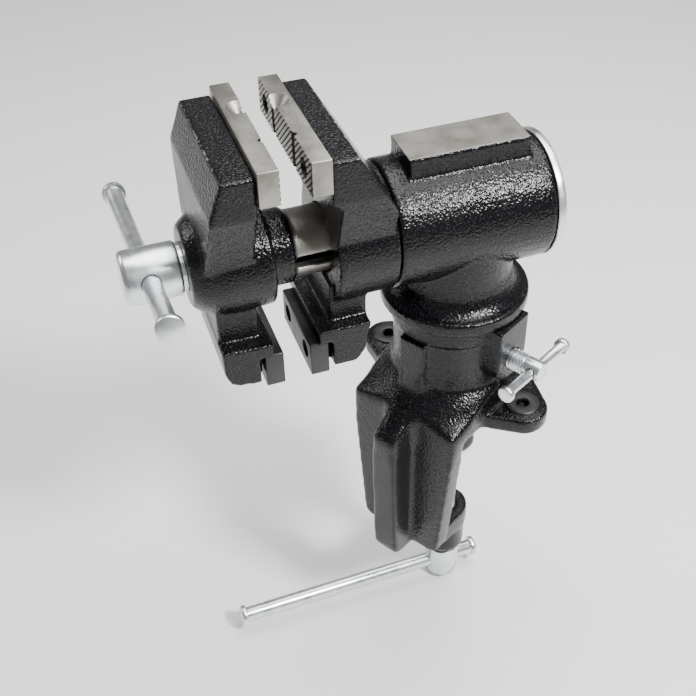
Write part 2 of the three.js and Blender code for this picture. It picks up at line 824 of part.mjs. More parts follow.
addPiece(vise, "clamp_pad", "zinc", buildClampPad());
addPiece(vise, "clamp_screw", "zinc", buildClampScrew());
const clampBarPlace = { at: [0, clampY, clampBarZ], turn: rad(clampBarTurn), left: -125, right: 19.5 };
addTommyBar(vise, "clamp", largeBar, clampBarPlace);

// ---------------------------------------------------------------- lock screw

const lockHeadRadius = 5;
const lockBarX = 49.2;
const lockScrewEnd = 53.4;
const lockThreadEnd = 44;
const lockBarTurn = 86.3;

function buildLockScrew() {
  const tip = spigotRadius - 1 + seatGap;
  const body = turned(
    [
      [0, tip],
      [lockScrewRadius - 1.2, tip],
      [lockScrewRadius, tip + 1.2],
      [lockScrewRadius, lockThreadEnd],
      [lockHeadRadius, lockThreadEnd + 0.8],
      [lockHeadRadius, lockScrewEnd - 0.8],
      [lockHeadRadius - 0.8, lockScrewEnd],
      [0, lockScrewEnd],
    ],
    "x",
  );
  const hole = crossHole(smallBar, 0, 90, 12).rotate(lockBarTurn - 90, 0, 0).translate(lockBarX, 0, 0);
  return body.subtract(hole).translate(0, 0, lockScrewZ);
}

addPiece(vise, "lock_screw", "zinc", buildLockScrew());
const lockFrame = new THREE.Group();
lockFrame.position.set(lockBarX, 0, lockScrewZ);
lockFrame.rotation.x = rad(lockBarTurn - 90);
vise.add(lockFrame);
addTommyBar(lockFrame, "lock", smallBar, { at: [0, 0, 0], turn: Math.PI / 2, left: -24.4, right: 24.4 });

export default vise;
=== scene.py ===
import json
import math

import bpy
from mathutils import Matrix, Vector, kdtree

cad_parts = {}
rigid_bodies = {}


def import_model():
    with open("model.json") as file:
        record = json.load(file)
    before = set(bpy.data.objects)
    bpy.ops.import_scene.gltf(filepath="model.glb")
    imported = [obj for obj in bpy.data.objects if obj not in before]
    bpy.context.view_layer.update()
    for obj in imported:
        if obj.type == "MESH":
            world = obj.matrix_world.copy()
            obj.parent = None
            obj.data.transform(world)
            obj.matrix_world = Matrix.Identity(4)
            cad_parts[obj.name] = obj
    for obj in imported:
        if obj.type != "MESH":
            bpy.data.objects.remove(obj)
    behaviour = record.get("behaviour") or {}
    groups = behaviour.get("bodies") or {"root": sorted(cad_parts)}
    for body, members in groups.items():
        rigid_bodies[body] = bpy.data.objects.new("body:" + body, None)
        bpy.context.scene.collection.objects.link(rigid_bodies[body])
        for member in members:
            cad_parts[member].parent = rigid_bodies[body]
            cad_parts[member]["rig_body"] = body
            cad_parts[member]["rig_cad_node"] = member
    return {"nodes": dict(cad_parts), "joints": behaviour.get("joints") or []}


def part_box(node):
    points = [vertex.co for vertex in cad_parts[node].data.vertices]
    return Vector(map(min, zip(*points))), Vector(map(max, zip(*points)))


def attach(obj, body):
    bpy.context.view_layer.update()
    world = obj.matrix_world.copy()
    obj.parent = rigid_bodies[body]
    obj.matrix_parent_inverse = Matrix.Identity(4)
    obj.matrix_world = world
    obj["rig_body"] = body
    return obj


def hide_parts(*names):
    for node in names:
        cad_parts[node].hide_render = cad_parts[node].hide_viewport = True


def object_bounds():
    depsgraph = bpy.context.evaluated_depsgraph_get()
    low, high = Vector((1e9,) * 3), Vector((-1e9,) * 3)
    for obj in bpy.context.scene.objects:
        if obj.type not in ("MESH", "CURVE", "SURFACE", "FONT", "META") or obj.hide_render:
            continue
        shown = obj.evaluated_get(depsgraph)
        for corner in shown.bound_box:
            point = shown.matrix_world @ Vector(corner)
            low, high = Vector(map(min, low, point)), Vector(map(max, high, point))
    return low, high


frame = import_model()
cad_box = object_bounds()
joints = {joint["name"]: joint for joint in frame["joints"]}

# ------------------------------------------------------------ floor, light and camera
# A pale floor under the hanging clamp handle, one large soft light overhead and two at the sides.
# The camera stands in front of the bench's edge, to the right, and looks down on the head.

MM = 0.001
floor_top = cad_box[0].z - 2 * MM

bpy.ops.object.select_all(action="DESELECT")
bpy.ops.mesh.primitive_plane_add(size=6, location=(0, 0, floor_top))
floor = bpy.context.object
floor.name = "floor"
floor_paint = bpy.data.materials.new("floor_paint")
floor_paint.use_nodes = True
floor_shader = floor_paint.node_tree.nodes["Principled BSDF"]
floor_shader.inputs["Base Color"].default_value = (0.86, 0.86, 0.85, 1)
floor_shader.inputs["Roughness"].default_value = 0.7
floor.data.materials.append(floor_paint)

world = bpy.data.worlds.new("studio")
world.use_nodes = True
sky = world.node_tree.nodes["Background"]
sky.inputs["Color"].default_value = (1.0, 0.99, 0.97, 1)
sky.inputs["Strength"].default_value = 0.3
bpy.context.scene.world = world

head_middle = Vector((0, 0, 0.1))
for lamp_name, place, size, power in [
    ("overhead", (-0.05, 0.25, 1.1), 1.0, 20),
    ("right_side", (0.72, 0.02, 0.84), 0.2, 20),
    ("left_side", (-0.9, -0.35, 0.6), 0.4, 3),
]:
    lamp = bpy.data.lights.new(lamp_name, "AREA")
    lamp.size = size
    lamp.energy = power
    holder = bpy.data.objects.new(lamp_name, lamp)
    bpy.context.scene.collection.objects.link(holder)
    holder.location = place
    holder.rotation_euler = (head_middle - Vector(place)).to_track_quat("-Z", "Y").to_euler()

camera = bpy.data.objects.new("camera", bpy.data.cameras.new("camera"))
bpy.context.scene.collection.objects.link(camera)
camera.data.lens = 55.6
camera.data.sensor_width = 36
camera.matrix_world = (
    Matrix.Translation((0.23224, -0.34126, 0.38388))
    @ Matrix.Rotation(math.radians(41.436), 4, "Z")
    @ Matrix.Rotation(math.radians(48.932), 4, "X")
    @ Matrix.Rotation(math.radians(-1.51), 4, "Z")
)
bpy.context.scene.camera = camera

# ------------------------------------------------------------ hammered enamel castings
# Base, housing and both jaws are sand castings under glossy black hammered enamel.
# Each is taken from its solid, given its cast fillets by a fine skin, and rippled a little.

spindle_axis = Vector(joints["jaw_turn"]["axis"])
head_angle = math.atan2(-spindle_axis.x, spindle_axis.y)
head_turn = Matrix.Translation(joints["jaw_turn"]["pos_m"]) @ Matrix.Rotation(head_angle, 4, "Z")
on_base = Matrix.Identity(4)


def shader_nodes(material):
    """A material's nodes, its links and its main shader."""
    material.use_nodes = True
    nodes = material.node_tree.nodes
    return nodes, material.node_tree.links, nodes["Principled BSDF"]


def object_noise(nodes, links, scale, detail=2.0, stretch=(1, 1, 1), turn=0.0):
    """Noise that stays on the piece, drawn out along some axes and turned about Z."""
    place = nodes.new("ShaderNodeTexCoord")
    mapping = nodes.new("ShaderNodeMapping")
    mapping.inputs["Scale"].default_value = stretch
    mapping.inputs["Rotation"].default_value = (0, 0, turn)
    noise = nodes.new("ShaderNodeTexNoise")
    noise.inputs["Scale"].default_value = scale
    noise.inputs["Detail"].default_value = detail
    links.new(place.outputs["Object"], mapping.inputs["Vector"])
    links.new(mapping.outputs["Vector"], noise.inputs["Vector"])
    return noise.outputs["Fac"]


def ramp(nodes, links, value, stops):
    """Maps a value to the greys or colours of its (position, tone) stops."""
    band = nodes.new("ShaderNodeValToRGB")
    while len(band.color_ramp.elements) < len(stops):
        band.color_ramp.elements.new(0.5)
    for element, (position, tone) in zip(band.color_ramp.elements, stops):
        element.position = position
        element.color = (*tone, 1) if isinstance(tone, tuple) else (tone, tone, tone, 1)
    links.new(value, band.inputs["Fac"])
    return band.outputs["Color"]


def bump(nodes, links, value, height, strength, under=None):
    """A relief of the given height in metres, laid over another one if under is given."""
    relief = nodes.new("ShaderNodeBump")
    relief.inputs["Strength"].default_value = strength
    relief.inputs["Distance"].default_value = height
    links.new(value, relief.inputs["Height"])
    if under is not None:
        links.new(under, relief.inputs["Normal"])
    return relief.outputs["Normal"]


def make_enamel():
    """Glossy black paint with hammered dimples and grey flecks, rubbed dull on worn edges."""
    enamel = bpy.data.materials.new("hammered_enamel")
    nodes, links, paint = shader_nodes(enamel)
    dimples = object_noise(nodes, links, 950, detail=0.6)
    grain = object_noise(nodes, links, 2300, detail=1.0)
    speckle = object_noise(nodes, links, 1300, detail=3.0)
    cloud = object_noise(nodes, links, 55, detail=3.0)
    edge = nodes.new("ShaderNodeAttribute")
    edge.attribute_name = "worn_edge"
    rubbed = nodes.new("ShaderNodeMath")
    rubbed.operation = "MULTIPLY"
    links.new(edge.outputs["Fac"], rubbed.inputs[0])
    patches = object_noise(nodes, links, 330, detail=3.0)
    links.new(ramp(nodes, links, patches, [(0.38, 0.25), (0.62, 1.0)]), rubbed.inputs[1])
    worn = ramp(nodes, links, rubbed.outputs["Value"], [(0.0, 0.0), (0.42, 0.0), (0.85, 1.0)])
    tone = ramp(
        nodes,
        links,
        speckle,
        [(0.38, (0.001, 0.001, 0.002)), (0.58, (0.004, 0.004, 0.005)), (0.76, (0.04, 0.04, 0.043))],
    )
    mix = nodes.new("ShaderNodeMix")
    mix.data_type = "RGBA"
    mix.inputs["B"].default_value = (0.3, 0.3, 0.29, 1)
    links.new(worn, mix.inputs["Factor"])
    links.new(tone, mix.inputs["A"])
    links.new(mix.outputs["Result"], paint.inputs["Base Color"])
    links.new(ramp(nodes, links, cloud, [(0.3, 0.17), (0.75, 0.28)]), paint.inputs["Roughness"])
    paint.inputs["Specular IOR Level"].default_value = 0.24
    paint.inputs["Coat Weight"].default_value = 0.1
    paint.inputs["Coat Roughness"].default_value = 0.07
    relief = bump(nodes, links, dimples, 0.0006, 0.6)
    links.new(bump(nodes, links, grain, 0.0001, 0.4, relief), paint.inputs["Normal"])
    links.new(relief, paint.inputs["Coat Normal"])
    return enamel


def make_ground_steel():
    """Bare steel with fine grinding lines across the head and a few dull patches."""
    steel = bpy.data.materials.new("ground_steel")
    nodes, links, metal = shader_nodes(steel)
    lines = object_noise(nodes, links, 300, detail=4.0, stretch=(1, 22, 22), turn=-head_angle)
    cloud = object_noise(nodes, links, 90, detail=4.0)
    metal.inputs["Metallic"].default_value = 1.0
    tone = ramp(
        nodes,
        links,
        cloud,
        [(0.25, (0.2, 0.19, 0.17)), (0.55, (0.33, 0.315, 0.29)), (0.8, (0.4, 0.38, 0.35))],
    )
    links.new(tone, metal.inputs["Base Color"])
    links.new(ramp(nodes, links, lines, [(0.25, 0.26), (0.75, 0.55)]), metal.inputs["Roughness"])
    links.new(bump(nodes, links, lines, 0.00012, 0.5), metal.inputs["Normal"])
    return steel


enamel = make_enamel()
ground_steel = make_ground_steel()


def only(piece):
    """Selects one object and nothing else."""
    bpy.ops.object.select_all(action="DESELECT")
    piece.select_set(True)
    bpy.context.view_layer.objects.active = piece


def apply_modifier(piece, kind, **settings):
    """Adds a modifier to a piece and applies it."""
    only(piece)
    bpy.ops.object.modifier_add(type=kind)
    modifier = piece.modifiers[-1]
    for key, value in settings.items():
        setattr(modifier, key, value)
    bpy.ops.object.modifier_apply(modifier=modifier.name)


ripple = bpy.data.textures.new("casting_ripple", "CLOUDS")
ripple.noise_scale = 1.7 * MM
ripple_depth = 0.07 * MM
wear_reach = 0.7 * MM
wear_step = 0.3 * MM


def everywhere(_point):
    return 1.0


def nowhere(_point):
    return 0.0


def soften(piece, rounds, where):
    """Smooths a piece where the given function of a point is above 0."""
    group = piece.vertex_groups.new(name="softened")
    for vertex in piece.data.vertices:
        group.add([vertex.index], min(1.0, max(0.0, where(vertex.co))), "REPLACE")
    apply_modifier(piece, "SMOOTH", factor=0.5, iterations=rounds, vertex_group="softened")
    piece.vertex_groups.clear()


def cast_from(node, name, place, voxel, fillets, worn):
    """A cast skin over a solid. Fillets are (rounds, where) pairs, and worn says where it is rubbed."""
    piece = frame["nodes"][node].copy()
    piece.data = frame["nodes"][node].data.copy()
    piece.name = name
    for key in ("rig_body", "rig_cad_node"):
        del piece[key]
    piece.parent = None
    bpy.context.scene.collection.objects.link(piece)
    piece.data.transform(place.inverted())
    piece.data.materials.clear()
    only(piece)
    bpy.ops.object.mode_set(mode="EDIT")
    bpy.ops.mesh.select_all(action="SELECT")
    bpy.ops.mesh.remove_doubles(threshold=0.00001)
    bpy.ops.mesh.select_mode(type="EDGE")
    bpy.ops.mesh.select_all(action="DESELECT")
    bpy.ops.mesh.edges_select_sharp(sharpness=math.radians(30))
    bpy.ops.object.mode_set(mode="OBJECT")
    # The pieces made later are drawn from single points, so points are selected again.
    bpy.context.tool_settings.mesh_select_mode = (True, False, False)
    far_off = Vector((0, 0, 1))
    rubbed = [far_off]
    for edge in piece.data.edges:
        if not edge.select:
            continue
        start, end = (piece.data.vertices[corner].co for corner in edge.vertices)
        count = int((end - start).length / wear_step) + 2
        points = (start.lerp(end, step / (count - 1)) for step in range(count))
        rubbed += [point for point in points if worn(point) > 0]
    near = kdtree.KDTree(len(rubbed))
    for number, point in enumerate(rubbed):
        near.insert(point, number)
    near.balance()
    apply_modifier(piece, "REMESH", mode="VOXEL", voxel_size=voxel)
    for rounds, where in fillets:
        soften(piece, rounds, where)
    apply_modifier(piece, "DISPLACE", texture=ripple, strength=ripple_depth, mid_level=0.5)
    bpy.ops.object.shade_smooth()
    wear = piece.data.attributes.new("worn_edge", "FLOAT", "POINT")
    for vertex, amount in zip(piece.data.vertices, wear.data):
        distance = near.find(vertex.co)[2]
        amount.value = min(1.0, max(0.0, 1.25 - distance / wear_reach))
    piece.data.materials.append(enamel)
    return piece


def second_finish(piece, material, chosen):
    """Gives another material to the faces chosen by their middle and normal."""
    piece.data.materials.append(material)
    for face in piece.data.polygons:
        if chosen(face.center, face.normal):
            face.material_index = len(piece.data.materials) - 1


def put_on(piece, place, body, slot, *nodes):
    """Moves a finished piece to its place on the body it rides."""
    piece.data.transform(place)
    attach(piece, body)
    if nodes:
        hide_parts(*nodes)


def between(value, low, high):
    """0 below low, 1 above high and a straight rise between them."""
    return min(1.0, max(0.0, (value - low) / (high - low)))


def below_band(point):
    """The column under its collar band, the spine and the arm, but not the ears' thickness."""
    column = between(36 * MM - point.z, 0, 5 * MM) * between(point.z, -3 * MM, 1 * MM)
    return column + between(-point.z, 2 * MM, 5 * MM)


def shoulders(point):
    """The front of the base, where the column runs down into the spine."""
    front = between(-point.y, 24 * MM, 29 * MM)
    return front * between(point.z, -12 * MM, -2 * MM) * between(34 * MM - point.z, 0, 6 * MM)


base_fillets = [(6, everywhere), (22, below_band), (75, shoulders)]
base = cast_from("clamp_base", "base_casting", on_base, 0.9 * MM, base_fillets, nowhere)
put_on(base, on_base, "base", "enamel", "clamp_base")

# The turning jaw meets the housing at a tight seam, which the fillets leave alone.
head_skin = 0.8 * MM
turning_joint = -38.1 * MM
anvil_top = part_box("swivel_housing")[1].z - head_turn.translation.z


def off_the_joint(point):
    return between(abs(point.y - turning_joint), 1.2 * MM, 3 * MM)


def housing_fillets(point):
    return off_the_joint(point) * between(anvil_top - point.z, 1.5 * MM, 3.5 * MM)


def anvil_edges(point):
    return point.z > anvil_top - 1 * MM


housing = cast_from(
    "swivel_housing",
    "housing_casting",
    head_turn,
    head_skin,
    [(1, everywhere), (8, housing_fillets)],
    anvil_edges,
)
second_finish(
    housing,
    ground_steel,
    lambda middle, normal: normal.z > 0.8 and middle.z > anvil_top - 0.9 * MM,
)
put_on(housing, head_turn, "housing", "enamel", "swivel_housing")


def jaw_top_edges(point):
    return point.z > 56.5 * MM


def moving_jaw_fillets(point):
    return between(56 * MM - point.z, 0, 4 * MM)


def fixed_jaw_fillets(point):
    return off_the_joint(point) * moving_jaw_fillets(point)


turning_jaw = cast_from(
    "fixed_jaw",
    "turning_jaw_casting",
    head_turn,
    head_skin,
    [(2, everywhere), (7, fixed_jaw_fillets)],
    jaw_top_edges,
)
put_on(turning_jaw, head_turn, "fixed_jaw", "enamel", "fixed_jaw")

# The slide behind the moving jaw's collar is turned bright, so it takes the bare steel.
slide_start = -81.6 * MM
sliding_jaw = cast_from(
    "moving_jaw",
    "sliding_jaw_casting",
    head_turn,
    head_skin,
    [(2, everywhere), (7, moving_jaw_fillets)],
    jaw_top_edges,
)
second_finish(sliding_jaw, ground_steel, lambda middle, _normal: middle.y > slide_start)
put_on(sliding_jaw, head_turn, "moving_jaw", "enamel", "moving_jaw")

# ------------------------------------------------------------ upper jaw plates
# Two hardened steel plates, ground on top and ends and cut with slanting teeth on the grip face.
# Two upright V grooves, one opening in a cone, hold pointed and round work.
# Two screws hold each plate.


def head_box(node):
    """A CAD node's lowest and highest corner, measured along the head's own axes."""
    corners = [head_turn.inverted() @ vertex.co for vertex in frame["nodes"][node].data.vertices]
    low = Vector([min(corner[i] for corner in corners) for i in range(3)])
    high = Vector([max(corner[i] for corner in corners) for i in range(3)])
    return low, high


def start_block(name, low, high, edge):
    """A block between two corners with rounded edges."""
    bpy.ops.object.select_all(action="DESELECT")
    bpy.ops.mesh.primitive_cube_add(size=1, location=(low + high) / 2)
    piece = bpy.context.object
    piece.name = name
    piece.scale = high - low
    bpy.ops.object.transform_apply(location=True, rotation=True, scale=True)
    bpy.ops.object.mode_set(mode="EDIT")
    bpy.ops.mesh.select_all(action="SELECT")
    bpy.ops.mesh.bevel(offset=edge, segments=3, affect="EDGES")
    bpy.ops.object.mode_set(mode="OBJECT")
    return piece


def start_bar(sides, radius, length, place, turn=(0, 0, 0), top_radius=None):
    """A round, three or four sided bar, or a cone if its top radius is given."""
    bpy.ops.object.select_all(action="DESELECT")
    bpy.ops.mesh.primitive_cone_add(
        vertices=sides,
        radius1=radius,
        radius2=radius if top_radius is None else top_radius,
        depth=length,
        location=place,
        rotation=turn,
    )
    return bpy.context.object


def cut_away(piece, cutter):
    """Cuts one solid out of a piece and removes it."""
    only(cutter)
    bpy.ops.object.transform_apply(location=True, rotation=True, scale=True)
    apply_modifier(piece, "BOOLEAN", operation="DIFFERENCE", object=cutter, solver="EXACT")
    bpy.data.objects.remove(cutter)


along_y = (math.pi / 2, 0, 0)


def screw_seats(piece, grip_y, hole_x, hole_z):
    """Two holes, each sunk from the grip face for a screw's head."""
    for x in (-hole_x, hole_x):
        cut_away(piece, start_bar(40, 4.3 * MM, 11.4 * MM, (x, grip_y, hole_z), along_y))
        cut_away(piece, start_bar(24, 2.7 * MM, 40 * MM, (x, grip_y, hole_z), along_y))


def cut_teeth(piece, grip_y, inward, low, high):
    """Slanting V grooves across the grip face, all cut at once by a row of three-sided bars."""
    pitch = 3.2 * MM
    depth = 0.7 * MM
    slant = math.radians(48)
    cutter_radius = 1.6 * MM
    overrun = 14 * MM
    tooth = start_bar(3, cutter_radius, 32 * MM, (0, 0, 0))
    tooth.scale = (0.95, inward, 1)
    bpy.ops.object.transform_apply(location=False, rotation=False, scale=True)
    tooth.rotation_euler = (0, slant, 0)
    tooth_y = grip_y + inward * (depth - cutter_radius)
    tooth.location = (low.x - overrun, tooth_y, (low.z + high.z) / 2)
    bpy.ops.object.transform_apply(location=True, rotation=True, scale=False)
    apply_modifier(
        tooth,
        "ARRAY",
        count=int((high.x - low.x + 2 * overrun) / pitch),
        use_relative_offset=False,
        use_constant_offset=True,
        constant_offset_displace=(pitch, 0, 0),
    )
    bpy.ops.object.mode_set(mode="EDIT")
    bpy.ops.mesh.select_all(action="SELECT")
    bpy.ops.mesh.normals_make_consistent(inside=False)
    bpy.ops.object.mode_set(mode="OBJECT")
    cut_away(piece, tooth)


cone_groove_x = -15 * MM
plain_groove_x = 14 * MM
cone_back = 1.6 * MM


def paint_over(piece, material):
    """Leaves a piece with one material."""
    piece.data.materials.clear()
    piece.data.materials.append(material)


def finish_plate(plate, material):
    only(plate)
    bpy.ops.object.shade_smooth_by_angle(angle=math.radians(32))
    paint_over(plate, material)


def upper_plate(node, name, inward):
    """A toothed plate and the place of its grip face."""
    low, high = head_box(node)
    grip_y = low.y if inward > 0 else high.y
    middle_z = (low.z + high.z) / 2
    plate = start_block(name, low, high, 0.35 * MM)
    cut_teeth(plate, grip_y, inward, low, high)
    for x in (cone_groove_x, plain_groove_x):
        cut_away(plate, start_bar(4, 2.1 * MM, 30 * MM, (x, grip_y, middle_z)))
    mouth = (cone_groove_x, grip_y + inward * cone_back, high.z - 2.4 * MM)
    cut_away(plate, start_bar(48, 0.6 * MM, 6.2 * MM, mouth, top_radius=6.3 * MM))
    screw_seats(plate, grip_y, 27 * MM, middle_z + 0.3 * MM)
    finish_plate(plate, ground_steel)
    return plate, grip_y


def make_groove_shade_steel():
    """Steel painted dark to stand for shade in the hollows, for the sides of the teeth and grooves."""
    steel = bpy.data.materials.new("oily_tooth_steel")
    nodes, links, metal = shader_nodes(steel)
    cloud = object_noise(nodes, links, 420, detail=4.0)
    metal.inputs["Metallic"].default_value = 1.0
    # Painted shade: these tones are far darker than the ground steel, standing for the shade inside the
    # teeth and grooves.
    links.new(
        ramp(nodes, links, cloud, [(0.3, (0.05, 0.045, 0.038)), (0.75, (0.17, 0.155, 0.135))]),
        metal.inputs["Base Color"],
    )
    links.new(ramp(nodes, links, cloud, [(0.3, 0.5), (0.8, 0.72)]), metal.inputs["Roughness"])
    links.new(bump(nodes, links, cloud, 0.0001, 0.4), metal.inputs["Normal"])
    return steel


groove_shade_steel = make_groove_shade_steel()
for jaw, body, inward in (("fixed", "fixed_jaw", 1), ("moving", "moving_jaw", -1)):
    plate, grip_y = upper_plate(f"{jaw}_upper_plate", f"{jaw}_toothed_plate", inward)

    def in_painted_groove_shade(middle, normal):
        depth = abs(middle.y - grip_y)
        from_cone = math.hypot(middle.x - cone_groove_x, middle.y - grip_y - inward * cone_back)
        slanting = max(abs(normal.x), abs(normal.y), abs(normal.z)) < 0.985
        inside = 0.02 * MM < depth < 5.6 * MM and 46.1 * MM < middle.z < 60.7 * MM
        return slanting and inside and from_cone > 6.6 * MM

    # The slanting sides of the teeth and grooves take the steel painted dark as shade; the cone's mouth
    # stays bright.
    second_finish(plate, groove_shade_steel, in_painted_groove_shade)
    put_on(plate, head_turn, body, "steel", f"{jaw}_upper_plate")

# ------------------------------------------------------------ lower jaw plates and plate screws
# Plain steel plates under satin black paint grip pipe and bar below the screw.
# All eight plate screws are black socket screws sunk below the grip faces.


def make_satin_black(name, tone, rough):
    """A dull black coat, a little cloudy and finely grained."""
    black = bpy.data.materials.new(name)
    nodes, links, paint = shader_nodes(black)
    cloud = object_noise(nodes, links, 160, detail=4.0)
    grain = object_noise(nodes, links, 1700, detail=2.0)
    dark = tuple(0.6 * share for share in tone)
    light = tuple(1.5 * share for share in tone)
    links.new(ramp(nodes, links, cloud, [(0.3, dark), (0.75, light)]), paint.inputs["Base Color"])
    sheen = ramp(nodes, links, cloud, [(0.3, rough - 0.07), (0.8, rough + 0.09)])
    links.new(sheen, paint.inputs["Roughness"])
    links.new(bump(nodes, links, grain, 0.00008, 0.5), paint.inputs["Normal"])
    return black


satin_black = make_satin_black("satin_black_paint", (0.012, 0.012, 0.013), 0.4)
black_oxide = make_satin_black("black_oxide_screw", (0.014, 0.014, 0.015), 0.5)

for jaw, body, inward in (("fixed", "fixed_jaw", 1), ("moving", "moving_jaw", -1)):
    low, high = head_box(f"{jaw}_lower_plate")
    grip_y = low.y if inward > 0 else high.y
    plate = start_block(f"{jaw}_pipe_plate", low, high, 0.7 * MM)
    screw_seats(plate, grip_y, 13.5 * MM, (low.z + high.z) / 2 + 0.6 * MM)
    finish_plate(plate, satin_black)
    put_on(plate, head_turn, body, "black_steel", f"{jaw}_lower_plate")
    for row in ("upper", "lower"):
        for hand in ("left", "right"):
            paint_over(frame["nodes"][f"{jaw}_{row}_screw_{hand}"], black_oxide)

# ------------------------------------------------------------ spindle screw and its tommy bar
# The screw's round head is turned steel, bright zinc plated, with a cross hole for the bar.
# The bar has a flat knob at each end and slides in the hole.


def make_zinc():
    """Bright zinc plating with faint clouds in its shine."""
    zinc = bpy.data.materials.new("bright_zinc")
    nodes, links, metal = shader_nodes(zinc)
    cloud = object_noise(nodes, links, 140, detail=5.0)
    grain = object_noise(nodes, links, 1500, detail=3.0)
    metal.inputs["Metallic"].default_value = 1.0
    links.new(
        ramp(nodes, links, cloud, [(0.28, (0.68, 0.72, 0.74)), (0.7, (0.88, 0.91, 0.93))]),
        metal.inputs["Base Color"],
    )
    links.new(ramp(nodes, links, cloud, [(0.25, 0.24), (0.8, 0.4)]), metal.inputs["Roughness"])
    links.new(bump(nodes, links, grain, 0.00007, 0.35), metal.inputs["Normal"])
    return zinc


zinc = make_zinc()


def start_outline(name, along, radius):
    """A single point in edit mode, from which an outline is drawn."""
    bpy.ops.object.select_all(action="DESELECT")
    bpy.ops.mesh.primitive_plane_add(size=1 * MM, location=(0, 0, 0))
    piece = bpy.context.object
    piece.name = name
    bpy.ops.object.mode_set(mode="EDIT")
    bpy.ops.mesh.select_all(action="SELECT")
    bpy.ops.mesh.merge(type="CENTER")
    bpy.ops.transform.translate(value=(along, 0, radius))
    return piece


def draw_on(along, rise):
    bpy.ops.mesh.extrude_vertices_move(TRANSFORM_OT_translate={"value": (along, 0, rise)})


def turned_piece(name, profile, steps=72):
    """Turns a half section of (along, radius) points about the X axis."""
    piece = start_outline(name, *profile[0])
    for before, after in zip(profile, profile[1:]):
        draw_on(after[0] - before[0], after[1] - before[1])
    bpy.ops.mesh.select_all(action="SELECT")
    bpy.ops.mesh.spin(steps=steps, angle=2 * math.pi, center=(0, 0, 0), axis=(1, 0, 0))
    bpy.ops.mesh.select_all(action="SELECT")
    bpy.ops.mesh.remove_doubles(threshold=0.000004)
    bpy.ops.mesh.normals_make_consistent(inside=False)
    bpy.ops.object.mode_set(mode="OBJECT")
    return piece


def threaded_rod(name, crest, root, pitch, start, end):
    """A rod along X with a helical thread, cut square at both ends."""
    rod = start_outline(name, start - pitch, root)
    depth = crest - root
    for share, rise in ((0.12, 0), (0.32, depth), (0.12, 0), (0.32, -depth), (0.12, 0)):
        draw_on(share * pitch, rise)
    bpy.ops.object.mode_set(mode="OBJECT")
    apply_modifier(
        rod,
        "SCREW",
        axis="X",
        screw_offset=pitch,
        angle=2 * math.pi,
        steps=40,
        render_steps=40,
        iterations=int((end - start) / pitch) + 3,
        use_merge_vertices=True,
        merge_threshold=0.00001,
    )
    bpy.ops.object.mode_set(mode="EDIT")
    for place, outwards in ((start, -1), (end, 1)):
        bpy.ops.mesh.select_all(action="SELECT")
        bpy.ops.mesh.bisect(
            plane_co=(place, 0, 0), plane_no=(outwards, 0, 0), use_fill=True, clear_outer=True
        )
    bpy.ops.mesh.select_all(action="SELECT")
    bpy.ops.mesh.remove_doubles(threshold=0.00001)
    bpy.ops.mesh.normals_make_consistent(inside=False)
    bpy.ops.object.mode_set(mode="OBJECT")
    return rod


def drill(piece, sides, radius, length, middle, axis):
    """Bores a hole through a piece along an axis."""
    bit = start_bar(sides, radius, length, middle)
    bit.rotation_euler = axis.to_track_quat("Z", "Y").to_euler()
    cut_away(piece, bit)


def join(piece, *others):
    only(piece)
    for part in others:
        part.select_set(True)
    bpy.ops.object.join()


def finish_zinc(piece, place):
    """Smooths and plates a piece and moves it to its place."""
    only(piece)
    bpy.ops.object.transform_apply(location=True, rotation=True, scale=True)
    bpy.ops.object.shade_smooth_by_angle(angle=math.radians(35))
    paint_over(piece, zinc)
    piece.data.transform(place)


def tommy_bar(name, radius, knob, thick, left, right):
    """A bar along X with a flat, round-edged knob at each end."""
    half = thick / 2
    soft = 0.6 * MM
    return turned_piece(
        name,
        [
            (left - half, 0),
            (left - half, knob - 1.3 * soft),
            (left - half + 0.35 * soft, knob - 0.45 * soft),
            (left - half + soft, knob),
            (left + half - soft, knob),
            (left + half - 0.3 * soft, knob - 0.3 * soft),
            (left + half, knob - soft),
            (left + half, radius + 0.25 * soft),
            (left + half + 0.5 * soft, radius),
            (right - half - 0.5 * soft, radius),
            (right - half, radius + 0.25 * soft),
            (right - half, knob - soft),
            (right - half + 0.3 * soft, knob - 0.3 * soft),
            (right - half + soft, knob),
            (right + half - soft, knob),
            (right + half - 0.35 * soft, knob - 0.45 * soft),
            (right + half, knob - 1.3 * soft),
            (right + half, 0),
        ],
    )


along_spindle = head_turn @ Matrix.Rotation(math.pi / 2, 4, "Z")
low, high = head_box("main_screw")
washer_front = head_box("thrust_washer")[0].y
head_back = washer_front - 0.3 * MM
bar_y = -143.0 * MM
head_radius = 12.1 * MM
spindle_radius = 7 * MM
shank_end = -89.0 * MM
spindle_head = turned_piece(
    "spindle_screw",
    [
        (low.y, 0),
        (low.y, head_radius - 1.5 * MM),
        (low.y + 0.5 * MM, head_radius - 0.8 * MM),
        (low.y + 1.3 * MM, head_radius - 0.2 * MM),
        (low.y + 2.2 * MM, head_radius),
        (head_back - 1.2 * MM, head_radius),
        (head_back - 0.4 * MM, head_radius - 0.3 * MM),
        (head_back, head_radius - 0.9 * MM),
        (head_back, spindle_radius),
        (shank_end - 1.0 * MM, spindle_radius),
        (shank_end, spindle_radius - 1.0 * MM),
        (shank_end, 0),
    ],
)
spindle_head.data.transform(along_spindle)
bar_axis = Vector(joints["handle_slide"]["axis"]).normalized()
bar_middle = head_turn @ Vector((0, bar_y, 0))
bar_radius = 4.2 * MM
bar_hole = bar_radius + 0.3 * MM
knob_radius = 6 * MM
knob_thick = 3.2 * MM
drill(spindle_head, 48, bar_hole, 60 * MM, bar_middle, bar_axis)
spindle_thread = threaded_rod(
    "spindle_thread", spindle_radius, 5.7 * MM, 3 * MM, shank_end - 0.2 * MM, high.y - 0.5 * MM
)
spindle_thread.data.transform(along_spindle)
join(spindle_head, spindle_thread)
finish_zinc(spindle_head, on_base)
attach(spindle_head, "main_screw")
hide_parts("main_screw")

